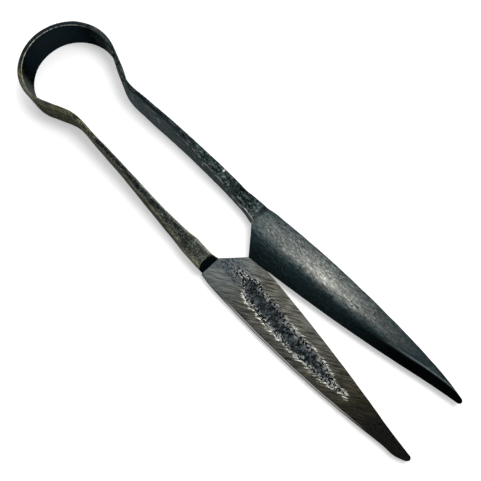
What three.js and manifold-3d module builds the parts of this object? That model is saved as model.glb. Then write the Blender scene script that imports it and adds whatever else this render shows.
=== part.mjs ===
// Hand-forged spring shears: one bow spring, two shanks and two pointed blades.
// Millimetres. Z is up and the shears lie flat on their side, on z = 0.
// X runs from the back of the bow to the tips. The upper blade's arm is on the +Y side.
// Everything is laid out with x = 0 at the bow's back and y = 0 on the bow's middle,
// and the whole group is then shifted so that the origin is under the middle of its box.

import * as THREE from "three";
import * as BufferGeometryUtils from "three/addons/utils/BufferGeometryUtils.js";
import Module from "manifold-3d";

const wasm = await Module();
wasm.setup();

// ---- overall sizes ----
const LENGTH = 300; // bow back to blade tips
const SEAM = 0.3; // clearance between neighbouring pieces
const BLADE_CLEARANCE = 0.3; // between the two blades' faces

// ---- bow: a flat strap stood on edge and bent round ----
const STRAP_HEIGHT = 18;
const STRAP_THICKNESS = 2.6;
const CROWN_ANGLE = 48; // the crown reaches this far to each side of the back
const SIDE_ANGLE = 112; // the bow's sides reach this far
const EDGE_ROUND = 0.6; // rounding along the strap's and shanks' edges

// ---- blades ----
const BLADE_LENGTH = 143.5; // heel to tip
const HEEL_BLADE_THICKNESS = 4.5;
const TIP_BLADE_THICKNESS = 2.2;
const BACK_THICKNESS = 2.6; // along the blade's back
const EDGE_THICKNESS = 0.5; // along the cutting edge
const EDGE_SIDE = { tip: 1.5, full: 15.6, run: 170 }; // half width on the cutting side
const RIDGE_PLACE = 0.5; // ridge of the outer face, from back to edge
const TIP_LEAN = 1.2; // the tip leans to the cutting side
const TIP_LEAN_RUN = 25;
const TIP_END = 0.03; // the outline is cut this far short of a sharp point
const HEEL_FROM = 0.5; // the heel slants over the width past this share
const BACK_DROP = 0.4; // the back stays at least this much lower than the ridge
const TIP_ROUND = 1.6;
const HEEL_SHOULDER = 1.2; // the back comes in by this much at the heel
const HEEL_SHOULDER_RUN = 12;

// ---- laid steel along the cutting edge ----
const STEEL_WIDTH = 5;
const STEEL_THICKNESS = 1.4;
const STEEL_HEEL_GAP = 3; // iron left at the heel
const STEEL_TIP_GAP = 14; // iron left at the tip

// ---- hollow in each blade's flat face ----
const HOLLOW_LENGTH = 84;
const HOLLOW_WIDTH = 9.4;
const HOLLOW_DEPTH = 0.8;
const HOLLOW_START = 9; // from the heel
const HOLLOW_OFFSET = 0.6; // its middle lies this far to the cutting side
const HOLLOW_TURN = 1; // degrees, its far end turns towards the back

// ---- root, where shank and blade meet ----
const ROOT_LENGTH = 7; // shank section kept on the blade's piece
const ROOT_LAP = 6; // how far the root reaches on to the blade
const ROOT_HEIGHT = 9.5;
const STEP_START = -1.2; // where the root starts to fall to the flat face
const STEP_RUN = 3;
const ROOT_SINK = 0.2; // the root ends this deep inside the blade
const ROOT_STRAIGHT = 6; // the shank runs straight for this far before the root
const OVERRUN = 3; // how far a cutting shape runs past what it cuts
const SHANK_CELLS = 4; // lengthwise cells between two stations
const LOWER_FACE_Z = 4.5; // flat face of the lower blade
const UPPER_FACE_Z = LOWER_FACE_Z + BLADE_CLEARANCE;

// ---- arms ----
// "setting" is the angle in degrees that a blade's middle line opens from X, "tipY" that
// line's distance from the bow's middle at the tip, "root" the shank's inner and outer side
// from that line at the heel. "neckX" is where the strap has turned in, from the bow's back.
// "way" is the shank's course: the share of the way from the neck to the root, the outer and
// inner sides' distance from the bow's middle at the top edge, how far the foot stands
// farther out than the top, and the share of the fall from the strap's height to the root's.
// "bow" is the half of the bow on that side, outside: its half width, how far its widest
// place is from the back, and how far the curve would run on from there if it closed.
// "back" is the blade's half width on the back's side, at the tip and in full, and the run
// between them. "heelSet" is how far the blade's heel is set forward of the root's fall, and
// "heelRun" the slanting heel's length along the blade.
const UPPER_ARM = {
  side: 1,
  neckX: 56,
  faceZ: UPPER_FACE_Z,
  bow: { halfWidth: 27.8, widest: 26.6, front: 26.6 },
  back: { tip: 1.1, full: 12.5, run: 125 },
  heelSet: 0.8,
  heelRun: 11,
  setting: 4.2,
  tipY: 21.4,
  root: { inner: 3.6, outer: 11.6 },
  way: [
    { share: 0, outer: 17.7, inner: 14.8, lean: -0.9, fall: 0.01 },
    { share: 0.17, outer: 18.3, inner: 14.7, lean: -1.6, fall: 0.09 },
    { share: 0.37, outer: 19.7, inner: 15.6, lean: -1.9, fall: 0.25 },
    { share: 0.54, outer: 20.5, inner: 15.7, lean: -1.6, fall: 0.42 },
    { share: 0.69, outer: 21.1, inner: 14.9, lean: -0.8, fall: 0.61 },
    { share: 0.86, outer: 21.5, inner: 14.3, lean: -0.5, fall: 0.82 },
  ],
};
const LOWER_ARM = {
  side: -1,
  neckX: 50,
  faceZ: LOWER_FACE_Z,
  bow: { halfWidth: 26.4, widest: 24.2, front: 25 },
  back: { tip: 1.1, full: 13.5, run: 125 },
  heelSet: 2.4,
  heelRun: 12.5,
  setting: 2.3,
  tipY: 20.5,
  root: { inner: 1.6, outer: 12 },
  way: [
    { share: 0, outer: 18, inner: 15.4, lean: 0.2, fall: 0.01 },
    { share: 0.17, outer: 18.6, inner: 15.7, lean: 0.6, fall: 0.08 },
    { share: 0.36, outer: 19.5, inner: 16.0, lean: 0.9, fall: 0.22 },
    { share: 0.54, outer: 21.1, inner: 16.6, lean: 1.1, fall: 0.42 },
    { share: 0.7, outer: 22.6, inner: 17.1, lean: 1.2, fall: 0.62 },
    { share: 0.88, outer: 24.6, inner: 16.6, lean: 1.0, fall: 0.84 },
  ],
};
const NECK_STRAIGHT = 5; // the strap runs on straight for this far past the bow's side

// ---- looks ----
const finish = (colour, roughness, metalness) =>
  new THREE.MeshStandardMaterial({ color: colour, roughness, metalness });
const BLACKED_IRON = () => finish(0x23272b, 0.5, 0.85);
const BROWNED_IRON = () => finish(0x37362c, 0.55, 0.8);
const GROUND_IRON = () => finish(0x5f5e5a, 0.42, 0.9);
const LAID_STEEL = () => finish(0x77777a, 0.32, 0.95);

// ---- helpers ----
const radians = THREE.MathUtils.degToRad;
const mix = THREE.MathUtils.lerp;

function welded(geometry) {
  geometry.deleteAttribute("normal");
  geometry.deleteAttribute("uv");
  return BufferGeometryUtils.mergeVertices(geometry, 1e-4);
}

// A box of nx by ny by nz cells whose corners are put where place(u, v, w) says, u, v, w in 0..1.
function shapedBox(nx, ny, nz, place) {
  const geometry = new THREE.BoxGeometry(1, 1, 1, nx, ny, nz);
  const at = geometry.attributes.position;
  for (let i = 0; i < at.count; i++) {
    const p = place(at.getX(i) + 0.5, at.getY(i) + 0.5, at.getZ(i) + 0.5);
    at.setXYZ(i, p.x, p.y, p.z);
  }
  return welded(geometry);
}

// Turns a side-to-side place v and a height w (thirds) into a section with rounded edges.
function roundedSection(v, w, width, height) {
  const ends = (t, size) => [0, EDGE_ROUND, size - EDGE_ROUND, size][Math.round(t * 3)];
  let across = ends(v, width);
  let up = ends(w, height);
  const atCorner = (v < 0.1 || v > 0.9) && (w < 0.1 || w > 0.9);
  if (atCorner) {
    const pull = EDGE_ROUND * (1 - Math.SQRT1_2);
    across += v < 0.5 ? pull : -pull;
    up += w < 0.5 ? pull : -pull;
  }
  return { across: across - width / 2, up };
}

const toSolid = (geometry) => {
  const mesh = new wasm.Mesh({
    numProp: 3,
    vertProperties: new Float32Array(geometry.attributes.position.array),
    triVerts: new Uint32Array(geometry.index.array),
  });
  return new wasm.Manifold(mesh);
};

const toGeometry = (solid) => {
  const mesh = solid.getMesh();
  const geometry = new THREE.BufferGeometry();
  geometry.setAttribute("position", new THREE.BufferAttribute(mesh.vertProperties, 3));
  geometry.setIndex(new THREE.BufferAttribute(mesh.triVerts, 1));
  return geometry;
};

// Swaps y for -y, and turns the faces the right way out again.
function mirrored(geometry) {
  const copy = geometry.clone();
  copy.scale(1, -1, 1);
  const index = copy.index.array;
  for (let i = 0; i < index.length; i += 3) {
    [index[i], index[i + 1]] = [index[i + 1], index[i]];
  }
  return copy;
}

function named(name, geometry, material) {
  const mesh = new THREE.Mesh(geometry, material);
  mesh.name = name;
  return mesh;
}

// ---- bow ----
const SEAM_ANGLE = THREE.MathUtils.radToDeg(SEAM / 2 / UPPER_ARM.bow.halfWidth);

// The quarter ellipse that the strap's middle line follows at an angle.
function strapCurve(angle) {
  const bow = angle < 0 ? LOWER_ARM.bow : UPPER_ARM.bow;
  const depth = Math.abs(angle) < 90 ? bow.widest : bow.front;
  return {
    centre: bow.widest,
    depth: depth - STRAP_THICKNESS / 2,
    width: bow.halfWidth - STRAP_THICKNESS / 2,
  };
}

// The strap's middle line, by the angle from the bow's back (positive towards +Y).
function bowPoint(angle) {
  const { centre, depth, width } = strapCurve(angle);
  const a = radians(angle);
  return new THREE.Vector2(centre - depth * Math.cos(a), width * Math.sin(a));
}

function bowHeading(angle) {
  const { depth, width } = strapCurve(angle);
  const a = radians(angle);
  return new THREE.Vector2(depth * Math.sin(a), width * Math.cos(a)).normalize();
}

function strapPiece(fromAngle, toAngle, cells) {
  return shapedBox(cells, 3, 3, (u, v, w) => {
    const angle = mix(fromAngle, toAngle, u);
    const middle = bowPoint(angle);
    const heading = bowHeading(angle);
    const section = roundedSection(v, w, STRAP_THICKNESS, STRAP_HEIGHT);
    const out = section.across;
    return new THREE.Vector3(middle.x - heading.y * out, middle.y + heading.x * out, section.up);
  });
}

// ---- blades: made with the flat face at z = 0 and the body above it, heel at x = 0,
// middle line along +X and the cutting edge on the -Y side ----
function sideWidth(side, fromTip) {
  const rest = Math.max(0, 1 - fromTip / side.run);
  return side.tip + (side.full - side.tip) * (1 - rest * rest);
}

function tipRounding(fromTip) {
  const t = Math.min(1, fromTip / TIP_ROUND);
  return Math.sqrt(Math.max(0, 1 - (1 - t) * (1 - t)));
}

function tipLean(fromTip) {
  const rest = Math.max(0, 1 - fromTip / TIP_LEAN_RUN);
  return TIP_LEAN * rest * rest;
}

function heelShoulder(x) {
  const rest = Math.max(0, 1 - x / HEEL_SHOULDER_RUN);
  return HEEL_SHOULDER * rest * rest;
}

function backLine(arm, x) {
  const fromTip = BLADE_LENGTH - x;
  const width = sideWidth(arm.back, fromTip) * tipRounding(fromTip);
  return width - tipLean(fromTip) - heelShoulder(x);
}

function edgeLine(x) {
  const fromTip = BLADE_LENGTH - x;
  return -sideWidth(EDGE_SIDE, fromTip) * tipRounding(fromTip) - tipLean(fromTip);
}

// The heel slants from the shank's inner side to the cutting edge's corner.
function heelX(arm, share) {
  return arm.heelSet + arm.heelRun * Math.max(0, (share - HEEL_FROM) / (1 - HEEL_FROM));
}

// Height of the outer face above the flat face: from the back over the ridge to the edge.
function outerHeight(x, share) {
  const ridge = mix(HEEL_BLADE_THICKNESS, TIP_BLADE_THICKNESS, x / BLADE_LENGTH);
  if (share < RIDGE_PLACE) {
    const toBack = 1 - share / RIDGE_PLACE;
    return mix(ridge, Math.min(BACK_THICKNESS, ridge - BACK_DROP), toBack ** 2);
  }
  const toEdge = (share - RIDGE_PLACE) / (1 - RIDGE_PLACE);
  return mix(ridge, EDGE_THICKNESS, toEdge ** 1.5);
}

function bladePlate(arm) {
  return shapedBox(30, 10, 1, (u, v, w) => {
    const share = 1 - v; // 0 at the back, 1 at the cutting edge
    const crowded = 1 - (1 - u) ** 1.6; // corners crowd together towards the tip
    const x = mix(heelX(arm, share), BLADE_LENGTH - TIP_END, crowded);
    const y = mix(backLine(arm, x), edgeLine(x), share);
    return new THREE.Vector3(x, y, w * outerHeight(x, share));
  });
}

// The root carries the shank's section on to the blade and falls away to its flat face.
// "below" and "above" are the shank's reach on the flat face's side and on the other side.
function bladeRoot(arm, below, above) {
  const { inner, outer } = arm.root;
  const height = below + above;
  return shapedBox(10, 3, 3, (u, v, w) => {
    const x = mix(-ROOT_LENGTH, ROOT_LAP, u);
    const section = roundedSection(v, w, outer - inner, height);
    const y = (inner + outer) / 2 + section.across;
    const fall = THREE.MathUtils.smoothstep(x, STEP_START, STEP_START + STEP_RUN);
    const sink = THREE.MathUtils.smoothstep(x, STEP_START, ROOT_LAP);
    const foot = mix(-below, ROOT_SINK, fall);
    const crest = mix(above, BACK_THICKNESS, sink);
    return new THREE.Vector3(x, y, mix(foot, crest, section.up / height));
  });
}

// The room that the laid steel takes, run past the edge and the flat face by OVERRUN.
function steelRoom(arm, clearance) {
  return shapedBox(24, 1, 1, (u, v, w) => {
    const from = arm.heelSet + arm.heelRun + STEEL_HEEL_GAP - clearance;
    const x = mix(from, BLADE_LENGTH - STEEL_TIP_GAP + clearance, u);
    const y = edgeLine(x) + mix(-OVERRUN, STEEL_WIDTH + clearance, v);
    return new THREE.Vector3(x, y, mix(-OVERRUN, STEEL_THICKNESS + clearance, w));
  });
}

function hollow() {
  const lens = new THREE.SphereGeometry(1, 32, 16);
  lens.scale(HOLLOW_LENGTH / 2, HOLLOW_WIDTH / 2, HOLLOW_DEPTH);
  lens.rotateZ(radians(HOLLOW_TURN));
  lens.translate(HOLLOW_START + HOLLOW_LENGTH / 2, -HOLLOW_OFFSET, 0);
  return welded(lens);
}

// Places a shape made on the blade: the upper blade lies on its flat face, the lower one
// is turned over, so that its flat face looks up.
function onArm(arm, geometry) {
  const turn = radians(arm.setting * arm.side);
  const heel = heelPoint(arm);
  if (arm.side < 0) {
    geometry.rotateX(Math.PI);
  }
  geometry.rotateZ(turn);
  geometry.translate(heel.x, heel.y, arm.faceZ);
  return geometry;
}

function bladeAxis(arm) {
  const turn = radians(arm.setting * arm.side);
  return new THREE.Vector2(Math.cos(turn), Math.sin(turn));
}

// Where the blade's middle line meets the heel.
function heelPoint(arm) {
  const tip = new THREE.Vector2(LENGTH, arm.side * arm.tipY);
  return tip.addScaledVector(bladeAxis(arm), -BLADE_LENGTH);
}

function bladePieces(arm) {
  const topSide = ROOT_HEIGHT - arm.faceZ;
  const below = arm.side > 0 ? arm.faceZ : topSide;
  const above = arm.side > 0 ? topSide : arm.faceZ;
  const plate = toSolid(bladePlate(arm));
  const whole = plate.add(toSolid(bladeRoot(arm, below, above)));
  const iron = whole.subtract(toSolid(hollow())).subtract(toSolid(steelRoom(arm, SEAM)));
  const steel = toSolid(steelRoom(arm, 0)).intersect(plate);
  return { iron: onArm(arm, toGeometry(iron)), steel: onArm(arm, toGeometry(steel)) };
}

// ---- shanks ----
// Each station holds the middle line's x and y, the width, the foot's lean and the height.
function shankStations(arm) {
  const fromBow = arm.side * (SIDE_ANGLE + SEAM_ANGLE);
  const start = bowPoint(fromBow);
  const strap = { width: STRAP_THICKNESS, lean: 0, height: STRAP_HEIGHT };
  const straight = start.clone().addScaledVector(bowHeading(fromBow), arm.side * NECK_STRAIGHT);
  const { inner, outer } = arm.root;
  const axis = bladeAxis(arm);
  const across = new THREE.Vector2(-axis.y, axis.x);
  const end = heelPoint(arm);
  end.addScaledVector(across, (arm.side * (inner + outer)) / 2);
  end.addScaledVector(axis, -ROOT_LENGTH - SEAM);
  const before = end.clone().addScaledVector(axis, -ROOT_STRAIGHT);
  const root = { width: outer - inner, lean: 0, height: ROOT_HEIGHT };
  const course = arm.way.map((place) => ({
    x: mix(arm.neckX, end.x, place.share),
    y: (place.outer + place.inner) / 2,
    width: place.outer - place.inner,
    lean: place.lean,
    height: mix(STRAP_HEIGHT, ROOT_HEIGHT, place.fall),
  }));
  const fromAxis = (point, shape) => ({ x: point.x, y: arm.side * point.y, ...shape });
  return [
    fromAxis(start, strap),
    fromAxis(straight, strap),
    ...course,
    fromAxis(before, root),
    fromAxis(end, root),
  ];
}

function shank(arm) {
  const stations = shankStations(arm);
  const curve = (pick) => new THREE.CatmullRomCurve3(stations.map(pick), false, "catmullrom", 0.5);
  const line = curve((s) => new THREE.Vector3(s.x, s.y, s.height));
  const shape = curve((s) => new THREE.Vector3(s.width, s.lean, 0));
  const cells = (stations.length - 1) * SHANK_CELLS;
  const bar = shapedBox(cells, 3, 3, (u, v, w) => {
    const middle = line.getPoint(u);
    const heading = line.getTangent(u);
    const level = new THREE.Vector2(heading.x, heading.y).normalize();
    const { x: width, y: lean } = shape.getPoint(u);
    const section = roundedSection(v, w, width, middle.z);
    const out = section.across + lean * (1 - section.up / middle.z);
    return new THREE.Vector3(middle.x - level.y * out, middle.y + level.x * out, section.up);
  });
  return arm.side > 0 ? bar : mirrored(bar);
}

// ---- the shears ----
function armMeshes(arm, name) {
  const { iron, steel } = bladePieces(arm);
  const ends = [CROWN_ANGLE + SEAM_ANGLE, SIDE_ANGLE - SEAM_ANGLE].map((a) => a * arm.side);
  const side = strapPiece(Math.min(...ends), Math.max(...ends), 16);
  const strapFinish = arm.side > 0 ? BLACKED_IRON : BROWNED_IRON;
  const bladeFinish = arm.side > 0 ? BLACKED_IRON : GROUND_IRON;
  return [
    named(`${name}_bow_side`, side, strapFinish()),
    named(`${name}_shank`, shank(arm), strapFinish()),
    named(`${name}_blade`, iron, bladeFinish()),
    named(`${name}_edge_steel`, steel, LAID_STEEL()),
  ];
}

const shears = new THREE.Group();
shears.add(named("bow_crown", strapPiece(SEAM_ANGLE - CROWN_ANGLE, CROWN_ANGLE - SEAM_ANGLE, 20), BLACKED_IRON()));
shears.add(...armMeshes(UPPER_ARM, "upper"));
shears.add(...armMeshes(LOWER_ARM, "lower"));

const box = new THREE.Box3().setFromObject(shears);
const middle = box.getCenter(new THREE.Vector3());
shears.position.set(-middle.x, -middle.y, -box.min.z);

export default shears;
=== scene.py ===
# %% [markdown]
# These are hand-forged spring shears: one strip of iron, bent round into a bow that works as
# the spring, drawn out into two shanks and beaten flat into two pointed blades. We load the
# measured model first, because every piece made here goes where that model says it is.

import math

import bmesh
import bpy
import numpy as np
from mathutils import Matrix, Vector, noise


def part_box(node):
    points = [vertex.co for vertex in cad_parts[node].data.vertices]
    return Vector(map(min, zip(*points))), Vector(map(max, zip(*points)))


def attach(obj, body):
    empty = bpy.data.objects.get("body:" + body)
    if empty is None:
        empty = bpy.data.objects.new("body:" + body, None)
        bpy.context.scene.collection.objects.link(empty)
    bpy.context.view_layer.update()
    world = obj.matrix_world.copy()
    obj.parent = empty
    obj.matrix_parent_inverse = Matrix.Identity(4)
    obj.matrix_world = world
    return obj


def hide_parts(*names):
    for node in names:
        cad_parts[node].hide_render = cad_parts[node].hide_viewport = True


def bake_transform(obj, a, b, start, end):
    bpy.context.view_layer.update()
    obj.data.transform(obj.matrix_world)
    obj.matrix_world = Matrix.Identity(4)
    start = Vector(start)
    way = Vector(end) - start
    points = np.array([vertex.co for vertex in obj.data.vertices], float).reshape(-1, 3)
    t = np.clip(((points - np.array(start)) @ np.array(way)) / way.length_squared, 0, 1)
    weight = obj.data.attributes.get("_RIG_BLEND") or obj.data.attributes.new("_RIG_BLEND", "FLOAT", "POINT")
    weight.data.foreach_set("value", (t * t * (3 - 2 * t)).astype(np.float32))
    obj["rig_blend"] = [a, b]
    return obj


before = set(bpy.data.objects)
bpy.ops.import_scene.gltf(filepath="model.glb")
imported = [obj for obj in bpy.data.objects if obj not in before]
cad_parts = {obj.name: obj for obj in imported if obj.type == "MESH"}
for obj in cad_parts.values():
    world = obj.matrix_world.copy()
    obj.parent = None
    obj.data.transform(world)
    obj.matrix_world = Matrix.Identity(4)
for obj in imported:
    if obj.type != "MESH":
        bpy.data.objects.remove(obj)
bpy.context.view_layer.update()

# %% [markdown]
# The sizes are in millimetres, because that is how a smith thinks of them. Positions are
# laid out from the back of the bow (x = 0) and the middle of the bow (y = 0), and only the
# last step turns them into metres in the model's own frame.

# %% Sizes and the way into the frame
MM = 0.001
BOW_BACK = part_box("bow_crown")[0].x
LENGTH = 300
STRAP_HEIGHT = 18
STRAP_THICKNESS = 2.6
SIDE_ANGLE = 112  # degrees round the bow from its back, where the strap leaves for the neck
NECK_STRAIGHT = 5
BLADE_LENGTH = 143.5
ROOT_LENGTH = 7  # the shank's last straight stretch, before the blade's heel
ROOT_LAP = 6  # how far the bar then runs into the blade's plate
ROOT_HEIGHT = 9.5

# The two arms were forged by eye, so each has its own sizes. "face_z" is the height of the
# blade's flat face. "back" is the width of the blade's back half at the tip, its full width and
# the run between them. "setting" is the blade's angle in degrees, and "inner" and "outer" are
# the shank's sides where it meets the heel. "way" lists stations along the shank, from the neck
# to the blade: the share of the length, the outer and the inner side, how far the foot leans
# out, and how far the top has fallen from the strap's height to the root's.
UPPER = {
    "name": "upper", "side": 1, "neck_x": 56, "face_z": 4.8,
    "bow": {"half_width": 27.8, "widest": 26.6, "front": 26.6},
    "back": {"tip": 1.1, "full": 12.5, "run": 125},
    "tip_belly": 0.0, "heel_set": 0.8, "heel_run": 11, "heel_from": 0.42,
    "flare": {"foot": 3.3, "top": 3.1, "run": 15},
    "setting": 4.2, "tip_y": 21.4, "inner": 3.6, "outer": 11.6,
    "way": [
        (0, 17.7, 14.8, -0.9, 0.01), (0.17, 18.3, 14.7, -1.6, 0.09),
        (0.37, 19.7, 15.6, -1.9, 0.25), (0.54, 20.5, 15.7, -1.6, 0.42),
        (0.69, 21.1, 14.9, -0.8, 0.61), (0.86, 21.5, 14.3, -0.5, 0.82),
    ],
}
LOWER = {
    "name": "lower", "side": -1, "neck_x": 50, "face_z": 4.5,
    "bow": {"half_width": 26.4, "widest": 24.2, "front": 25},
    "back": {"tip": 1.1, "full": 13.5, "run": 125},
    "tip_belly": 1.3, "heel_set": 2.4, "heel_run": 12.5, "heel_from": 0.46,
    "flare": {"foot": 2.0, "top": 0.4, "run": 7},
    "setting": 2.3, "tip_y": 20.5, "inner": 1.6, "outer": 12,
    "way": [
        (0, 18, 15.4, 0.2, 0.01), (0.17, 18.6, 15.7, 0.6, 0.08),
        (0.36, 19.5, 16, 0.9, 0.22), (0.54, 21.1, 16.6, 1.1, 0.42),
        (0.7, 22.6, 17.1, 1.2, 0.62), (0.88, 24.6, 16.6, 1, 0.84),
    ],
}
ARMS = {"upper": UPPER, "lower": LOWER}
BOW_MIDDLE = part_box("upper_bow_side")[1].y - UPPER["bow"]["half_width"] * MM


def in_frame(x, y, z):
    """A place from the bow's back and middle, in millimetres, as a place in the model's frame."""
    return Vector((BOW_BACK + x * MM, BOW_MIDDLE + y * MM, z * MM))


def blend_in(low, high, value):
    """0 below low, 1 above high, and a smooth turn between them."""
    t = min(1.0, max(0.0, (value - low) / (high - low)))
    return t * t * (3 - 2 * t)


def mix(a, b, t):
    return a + (b - a) * t


def bump_at(distance, reach):
    """1 on a line and falling softly to 0 away from it."""
    return math.exp(-((distance / reach) ** 2))


print("bow's back at", round(BOW_BACK / MM, 2), "and its middle at", round(BOW_MIDDLE / MM, 2))

# %% [markdown]
# The camera comes before the pieces, so that each piece can be looked at as soon as it is
# made. It looks down from nearly overhead, and the shears lie across the frame from corner to
# corner. Its turn about its own axis is given as an angle, and the two directions that span
# the frame are worked out from it.

# %% Camera
eye = Vector((0.0435, -0.0344, 0.2769))
aim = Vector((0.0098, 0.0016, 0))
forward = (aim - eye).normalized()
along_shears = (Vector((1, 0, 0)) - forward * forward.x).normalized()
across_shears = forward.cross(along_shears)
roll = math.radians(44.45)
camera_right = along_shears * math.cos(roll) - across_shears * math.sin(roll)
camera_up = -(along_shears * math.sin(roll) + across_shears * math.cos(roll))
camera_data = bpy.data.cameras.new("camera")
camera_data.lens = 38.3
camera_data.sensor_width = 36
camera_data.clip_start = 0.01
camera = bpy.data.objects.new("camera", camera_data)
bpy.context.scene.collection.objects.link(camera)
turned = Matrix((camera_right, camera_up, -forward)).transposed().to_4x4()
camera.matrix_world = Matrix.Translation(eye) @ turned
bpy.context.scene.camera = camera
bpy.context.scene.view_settings.view_transform = "Standard"
print("camera stands", round((eye - aim).length * 1000), "mm off")

# %% [markdown]
# Every piece of the shears is a long bar or plate, so each starts as a cube whose edges are
# cut into many cells. Then each corner is moved to its real place. Starting from a cube keeps
# the mesh closed and all quads, which curves and bevels would not promise here.


# %% A cube cut into cells, with each corner put in its place
def shaped_bar(name, cells, place):
    """A closed mesh. place(u, v, w) gives a corner's place in metres and its masks."""
    bm = bmesh.new()
    bmesh.ops.create_cube(bm, size=1)
    for axis, count in enumerate(cells):
        along = [e for e in bm.edges if abs(e.verts[0].co[axis] - e.verts[1].co[axis]) > 0.5]
        bmesh.ops.subdivide_edges(bm, edges=along, cuts=count - 1, use_grid_fill=True)
    # the cube's own twelve edges stay sharp, and all the others are smooth
    for edge in bm.edges:
        middle = (edge.verts[0].co + edge.verts[1].co) / 2
        edge.smooth = sum(abs(c) > 0.499 for c in middle) < 2
    mask_names = list(place(0, 0, 0)[1])
    for mask in mask_names:
        bm.verts.layers.float.new(mask)
    # a layer is looked up only when all of them are there, because adding one moves the others
    layers = {mask: bm.verts.layers.float[mask] for mask in mask_names}
    for vert in bm.verts:
        u, v, w = (c + 0.5 for c in vert.co)
        vert.co, masks = place(u, v, w)
        for mask, layer in layers.items():
            vert[layer] = masks[mask]
    bmesh.ops.recalc_face_normals(bm, faces=bm.faces)
    # on a long bent bar the operator can guess wrong, and a volume below 0 gives that away
    if bm.calc_volume(signed=True) < 0:
        bmesh.ops.reverse_faces(bm, faces=bm.faces)
    for face in bm.faces:
        face.smooth = True
    print(name, "has a volume of", round(bm.calc_volume(signed=True) / MM**3), "cubic mm")
    mesh = bpy.data.meshes.new(name)
    bm.to_mesh(mesh)
    bm.free()
    piece = bpy.data.objects.new(name, mesh)
    bpy.context.scene.collection.objects.link(piece)
    print(name, "has", 2 * len(mesh.polygons), "triangles")
    return piece


# %% [markdown]
# The strap and the shanks have a four-sided section with its corners rounded by the hammer
# and by years of handling. The first and last cells of each side bend round the corner.

# %% The section of the bar
ACROSS_CELLS = 12
UP_CELLS = 24
CORNER_CELLS = 3


def corner_turn(t, cells):
    """The angle that cell t has turned round its corner, or nothing where the side is straight."""
    i = round(t * cells)
    from_end = min(i, cells - i)
    if from_end >= CORNER_CELLS:
        return None
    return math.radians(45 + 45 * from_end / CORNER_CELLS)


def along_side(t, cells, size, rounding):
    turn = corner_turn(t, cells)
    if turn is not None:
        reach = rounding * (1 - math.cos(turn))
        return reach if t < 0.5 else size - reach
    i = round(t * cells)
    share = (i - CORNER_CELLS) / (cells - 2 * CORNER_CELLS)
    return mix(rounding, size - rounding, share)


def corner_shape(t, cells, rounding):
    """How far a side leans towards the next one at cell t, and how far it is set back."""
    turn = corner_turn(t, cells)
    if turn is None:
        return 0.0, 0.0
    return math.cos(turn), rounding * (1 - math.sin(turn))


def forged_section(v, w, width, height, rounding):
    """(across from the middle, up, direction outwards across, direction outwards up)."""
    across = along_side(v, ACROSS_CELLS, width, rounding)
    up = along_side(w, UP_CELLS, height, rounding)
    out_across, out_up = 0.0, 0.0
    facing_across = -1 if v < 0.5 else 1
    facing_up = -1 if w < 0.5 else 1
    if v < 0.001 or v > 0.999:
        lean, set_back = corner_shape(w, UP_CELLS, rounding)
        out_across = facing_across * math.sqrt(1 - lean * lean)
        out_up = facing_up * lean
        across = set_back if v < 0.5 else width - set_back
    elif w < 0.001 or w > 0.999:
        lean, set_back = corner_shape(v, ACROSS_CELLS, rounding)
        out_across = facing_across * lean
        out_up = facing_up * math.sqrt(1 - lean * lean)
        up = set_back if w < 0.5 else height - set_back
    return across - width / 2, up, out_across, out_up


# the size of each kind of dent and its depth, in millimetres, with a shift that sets it apart
DENTS = ((9, 0.1, (0, 0, 7.3)), (2.6, 0.055, (0, 4.1, 0)), (0.9, 0.02, (2.7, 0, 0)))


def hammered(x, y, z):
    """How far the surface stands out at a place, in millimetres: broad dents and small ones."""
    return sum(
        depth * noise.noise([c / size + s for c, s in zip((x, y, z), shift)]) for size, depth, shift in DENTS
    )


print("one ring of the bar has", 2 * (ACROSS_CELLS + UP_CELLS), "corners")

# %% [markdown]
# The bow is two quarter ellipses on each side, because a smith's bow is never a true circle.
# Each half is its own mesh: it bends between the crown and the side of the bow, as the real
# spring does when it is squeezed, and a mesh can only bend between two bodies.


# %% The strap's course round the bow
def strap_curve(arm, angle):
    """Centre, depth and width of the quarter ellipse that the strap's middle line follows here."""
    bow = arm["bow"]
    depth = bow["widest"] if angle < 90 else bow["front"]
    return bow["widest"], depth - STRAP_THICKNESS / 2, bow["half_width"] - STRAP_THICKNESS / 2


def bow_place(arm, angle):
    """The strap's middle line at an angle from the back, with y counted towards the arm."""
    centre, depth, width = strap_curve(arm, angle)
    a = math.radians(angle)
    return centre - depth * math.cos(a), width * math.sin(a)


def bow_heading(arm, angle):
    _, depth, width = strap_curve(arm, angle)
    a = math.radians(angle)
    length = math.hypot(depth * math.sin(a), width * math.cos(a))
    return depth * math.sin(a) / length, width * math.cos(a) / length


SEAM_PLACE = 80  # where the bow's half meets the bar of the arm
BOW_STEP = 1.0  # degrees from ring to ring


def strap_rounding(x):
    return 0.55 + 0.12 * noise.noise((x / 7, 3.1, 0))


def strap_corner(arm, angle, v, w):
    x, y = bow_place(arm, angle)
    hx, hy = bow_heading(arm, angle)
    across, up, out_across, out_up = forged_section(
        v, w, STRAP_THICKNESS, STRAP_HEIGHT, strap_rounding(x)
    )
    px, py, pz = x - hy * across, y + hx * across, up
    dent = hammered(px, arm["side"] * py, pz)
    px -= hy * out_across * dent
    py += hx * out_across * dent
    pz = min(STRAP_HEIGHT, max(0, pz + out_up * dent))
    inside = blend_in(0.3, 0.9, -out_across)
    if arm["side"] > 0:
        thinness_and_light, browned = mix(-1.2, 0.5, blend_in(50, 80, angle)), 0.0
    else:
        thinness_and_light = mix(-1.2, mix(1.0, 1.5, inside), blend_in(30, 75, angle))
        browned = 0.9 * blend_in(20, 60, angle) * (1 - inside)
    # only the corners face both ways, so this is 0 on the sides and the edges
    worn = mix(2, 1.4, blend_in(50, 80, angle)) * abs(out_across * out_up)
    masks = {"worn": worn, "browned": browned, "thin_skin_and_painted_light": thinness_and_light}
    return in_frame(px, arm["side"] * py, pz), masks


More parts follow.
